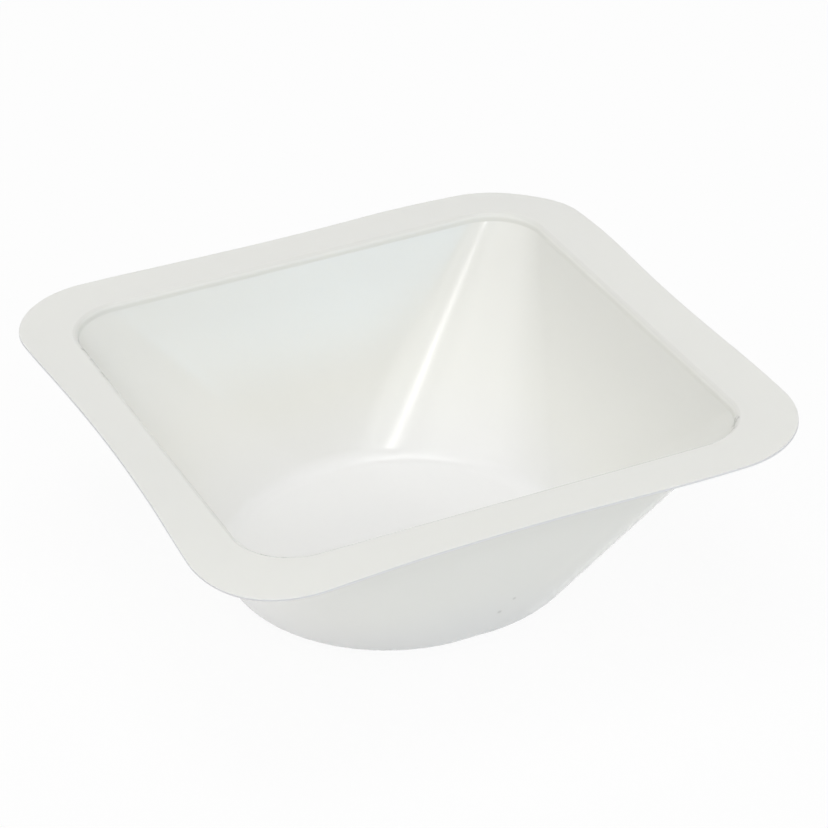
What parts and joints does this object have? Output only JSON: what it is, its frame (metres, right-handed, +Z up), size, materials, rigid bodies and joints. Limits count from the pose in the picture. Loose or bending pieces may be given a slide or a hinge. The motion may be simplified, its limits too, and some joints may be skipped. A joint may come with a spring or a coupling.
{
  "type": "weighing boat",
  "caption": "Square white plastic weighing boat: a thin flange with rounded corners, a short step at the rim and a deep well that narrows to a round flat floor.",
  "frame": {"origin": "centre of the bounding box in X and Y, at the level the floor stands on", "axes": "+Z up out of the well; +X to the right and +Y to the back, square to the flange's sides"},
  "size_m": [0.085, 0.085, 0.0297],
  "materials": {
    "boat_plastic": "white polystyrene sheet with a soft gloss, slightly translucent"
  },
  "bodies": {
    "root": {"weighing_boat": "boat_plastic"}
  },
  "joints": []
}
